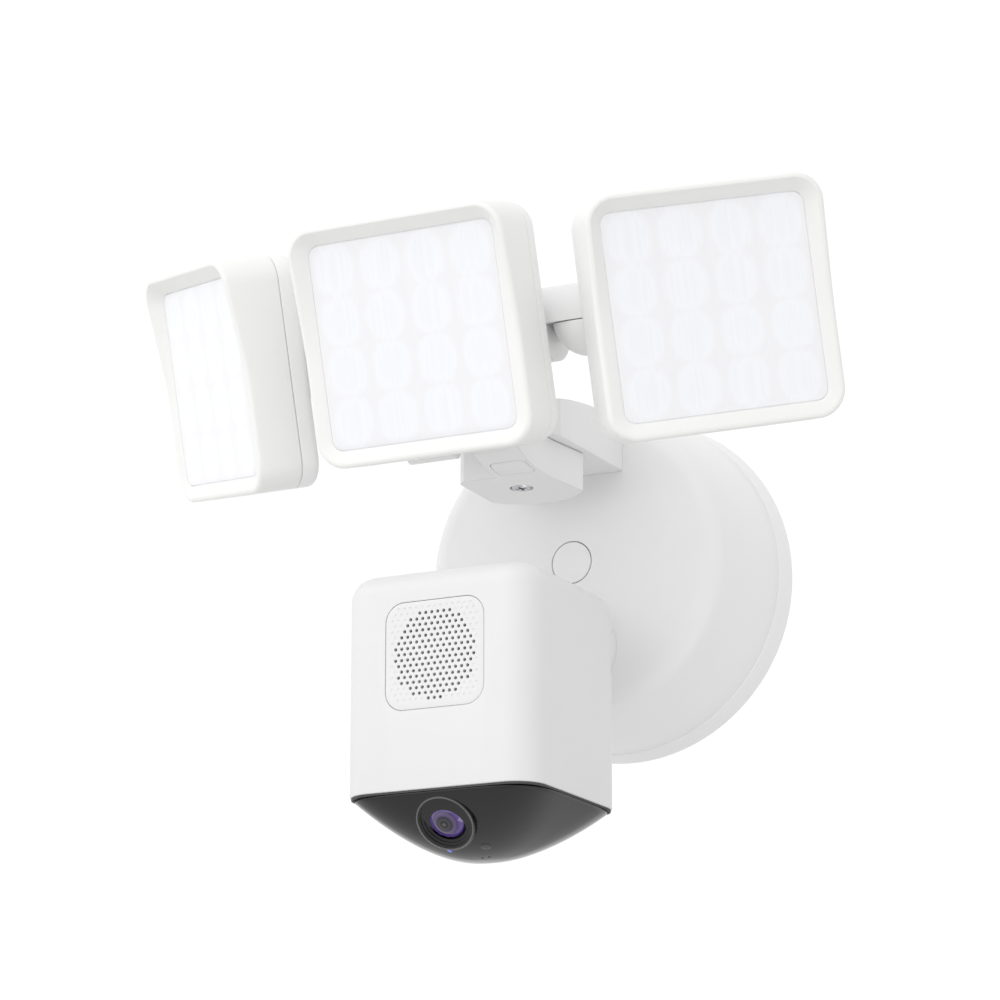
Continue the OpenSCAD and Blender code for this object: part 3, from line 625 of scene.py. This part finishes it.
def turned(name, profile, mat, body, m, nodes, n=96, axis="Z", sharp=35,
           cap0=False, hoop=False, extra=None):
    """Turns (radius, height) points about the local Z or Y axis."""
    bm = bmesh.new()
    rings = []
    for r, h in profile:
        r = max(r, 0.02)
        ring = [(r * c, r * q) for c, q in circle(n)]
        rings.append([(a, b, h) if axis == "Z" else (a, h, b) for a, b in ring])
    loft(bm, rings, cap0=cap0, cap1=not hoop, closed=hoop)
    if extra:
        extra(bm)
    return place(name, bm, mat, body, m, sharp=sharp, nodes=nodes)


def post(bm, x, z, r, y0, y1, bore=0.0, n=32):
    """Round boss along Y, with a bore when asked."""
    def ring(rr, y):
        return [(x + rr * c, y, z + rr * q) for c, q in circle(n)]
    if bore:
        loft(bm, [ring(r, y0), ring(r, y1), ring(bore, y1), ring(bore, y0)], closed=True)
    else:
        loft(bm, [ring(r, y0), ring(r, y1)], cap0=True, cap1=True)


BARREL = [
    (11.0, -13), (11.0, 0.7), (10.95, 1.2), (10.78, 1.6), (10.55, 1.78), (10.3, 1.76), (10.1, 1.6),
    (10.0, 1.2), (9.3, 1.0), (9.2, 0.65), (9.05, 0.55), (8.3, 0.45), (8.2, 0.1), (8.05, 0.0),
    (7.4, -0.1), (7.25, -0.9), (5, -1.2),
]
turned("lens_barrel_skin", BARREL, LENSB, "camera", LENS, ["lens_barrel"])
GLASS_R = 9.6
bulge = [(GLASS_R * math.sin(math.radians(a)), -7.2 + GLASS_R * math.cos(math.radians(a)))
         for a in range(48, 0, -3)]
turned("lens_glass_skin", [(7.2, -2.0)] + bulge, GLASS, "camera", LENS, ["lens_glass"])


# ---------- base ----------

BASE_R, RING_Y, BASE_Y = 68.0, -14.0, -58.5
inner = [(6, BASE_Y + 6), (10.5, BASE_Y + 6), (10.5, BASE_Y + 2.4), (30, BASE_Y + 2.4)]
inner += [(BASE_R - 15 + 6.1 * math.sin(a), BASE_Y + 8.5 - 6.1 * math.cos(a)) for a in arc_steps(6)]
inner += [(BASE_R - 4.6, RING_Y + 0.4)]


POST_START = 0.28


def cover_posts(bm):
    """Bosses inside the cover. The outer four start behind its narrow front, to stay within the wall."""
    post(bm, 0, 0, 7.4, BASE_Y + 5.9, -20, 2.55)
    front = BASE_Y + 8.5 + POST_START * (RING_Y - BASE_Y - 8.5)
    for a in (45, 135, 225, 315):
        x, z = (BASE_R - 8.9) * math.cos(math.radians(a)), (BASE_R - 8.9) * math.sin(math.radians(a))
        post(bm, x, z, 3.4, front, RING_Y + 0.35, 1.2)
    post(bm, 0, -34, 10, BASE_Y + 2.3, BASE_Y + 8)


cover = inner + [(BASE_R - 2.3, RING_Y + 0.4), (BASE_R - 2.0, RING_Y + 0.1), (BASE_R - 1.9, RING_Y - 0.3)]
cover += [(BASE_R - 1.9 - 4.6 * t, RING_Y + (BASE_Y + 8.5 - RING_Y) * t) for t in (0.33, 0.66)]
cover += [(BASE_R - 15 + 8.5 * math.cos(a), BASE_Y + 8.5 - 8.5 * math.sin(a)) for a in arc_steps(12)]
cover += [(40, BASE_Y), (20, BASE_Y), (8.5, BASE_Y), (8.4, BASE_Y + 0.04), (8.36, BASE_Y + 0.15)]
cover += [(8.35, BASE_Y + 3.2), (6, BASE_Y + 3.2)]
turned("base_cover_skin", cover, WHITE, "base", None, ["base_cover"], n=192, axis="Y",
       cap0=True, extra=cover_posts)
ring = [
    (55, RING_Y + 0.45), (BASE_R - 2.5, RING_Y + 0.45), (BASE_R - 1.9, RING_Y + 0.55),
    (BASE_R - 1.55, RING_Y + 0.95), (BASE_R - 1.2, RING_Y + 2), (BASE_R - 0.62, -9.6),
    (BASE_R - 0.15, -7.2), (BASE_R, -5.6), (BASE_R - 0.15, -4.2), (BASE_R - 0.6, -3.0),
    (BASE_R - 1.3, -2.3), (BASE_R - 2.2, -2.05), (55, -2.05),
]
turned("base_ring_skin", ring, WHITE, "base", None, ["base_ring"], n=192, axis="Y",
       sharp=40, hoop=True)
plug = [
    (5, BASE_Y + 3), (7.98, BASE_Y + 3), (7.98, BASE_Y + 0.15), (7.95, BASE_Y + 0.02),
    (7.85, BASE_Y - 0.06), (6, BASE_Y - 0.09),
]
turned("plug_skin", plug, WHITE, "base", None, ["centre_plug"], axis="Y")


# ---------- stage, light, camera ----------

def area(name, loc, target, size, energy):
    ld = bpy.data.lights.new(name, "AREA")
    ld.shape = "RECTANGLE"
    ld.size, ld.size_y = size
    ld.energy = energy
    lo = bpy.data.objects.new(name, ld)
    bpy.context.collection.objects.link(lo)
    lo.location = loc
    lo.rotation_euler = (Vector(target) - Vector(loc)).to_track_quat("-Z", "Y").to_euler()
    return lo


def stage_floor():
    me = bpy.data.meshes.new("floor")
    bm = bmesh.new()
    bmesh.ops.create_circle(bm, cap_ends=True, segments=96, radius=7)
    bm.to_mesh(me)
    bm.free()
    o = bpy.data.objects.new("floor", me)
    bpy.context.collection.objects.link(o)
    o.location = (0, 0, -2.4)
    m, nt, b = new_mat("floor_paint")
    b.inputs["Base Color"].default_value = (0.72, 0.72, 0.72, 1)
    b.inputs["Roughness"].default_value = 0.8
    me.materials.append(m)


stage_floor()
world = bpy.data.worlds.new("studio")
bpy.context.scene.world = world
world.use_nodes = True
bg = world.node_tree.nodes["Background"]
bg.inputs["Color"].default_value = (1, 1, 1, 1)
wn, wl = world.node_tree.nodes, world.node_tree.links
wtc = wn.new("ShaderNodeTexCoord")
wsep = wn.new("ShaderNodeSeparateXYZ")
wl.new(wtc.outputs["Generated"], wsep.inputs[0])


def fall(axis, lo, hi, v_lo, v_hi):
    """Strength along one axis of the world direction."""
    nd = wn.new("ShaderNodeMapRange")
    for key, v in (("From Min", lo), ("From Max", hi), ("To Min", v_lo), ("To Max", v_hi)):
        nd.inputs[key].default_value = v
    wl.new(wsep.outputs[axis], nd.inputs["Value"])
    return nd.outputs["Result"]


both = wn.new("ShaderNodeMath")
both.operation = "ADD"
wl.new(fall("X", 0, 1, 1.05, 0.76), both.inputs[0])
wl.new(fall("Y", -1, 0, 0.42, 0), both.inputs[1])
wl.new(both.outputs[0], bg.inputs["Strength"])
mid = (0, -0.1, 0)
area("key", (-0.9, -1.6, 1.5), mid, (1.4, 1.4), 2.2)
strip = area("gloss_strip", (1.5, -0.7, -1.2), mid, (0.9, 1.2), 7)
strip.visible_diffuse = False
bpy.context.scene.view_settings.view_transform = "Standard"

FOCAL, PITCH, HEADING = 133.2, 15.02, 26.57
EYE = (0.58365, -1.2861, -0.34015)
cam = bpy.data.cameras.new("camera")
cam.lens = FOCAL
cam.sensor_width = 36
cam.clip_start = 0.05
co = bpy.data.objects.new("camera", cam)
bpy.context.collection.objects.link(co)
co.location = EYE
co.rotation_euler = (math.radians(90 + PITCH), 0, math.radians(HEADING))
bpy.context.scene.camera = co
